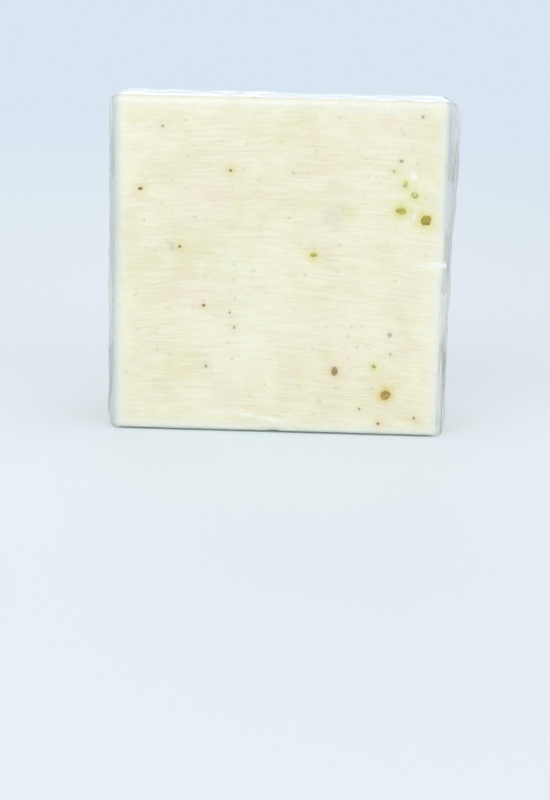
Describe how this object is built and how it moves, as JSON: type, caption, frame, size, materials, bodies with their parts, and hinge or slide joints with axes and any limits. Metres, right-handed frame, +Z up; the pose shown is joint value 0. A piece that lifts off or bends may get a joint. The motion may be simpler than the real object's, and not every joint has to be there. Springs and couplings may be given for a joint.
{
  "type": "bar of soap",
  "caption": "Square hand-cut bar of soap with golden and brown flecks, standing on its narrow side in clear film that is lapped behind and folded in at the ends.",
  "frame": {"origin": "middle of the bottom of the wrapped bar, on the surface that it stands on", "axes": "X along the bar's width, Y through its thickness with the front towards -Y, +Z up"},
  "size_m": [0.0666, 0.0246, 0.0655],
  "materials": {
    "soap": "satin",
    "amber_fleck": "satin",
    "brown_fleck": "matte",
    "clear_film": "gloss"
  },
  "bodies": {
    "root": {"soap_bar": "soap", "amber_flecks": "amber_fleck", "brown_flecks": "brown_fleck", "film_wrap": "clear_film"}
  },
  "joints": []
}
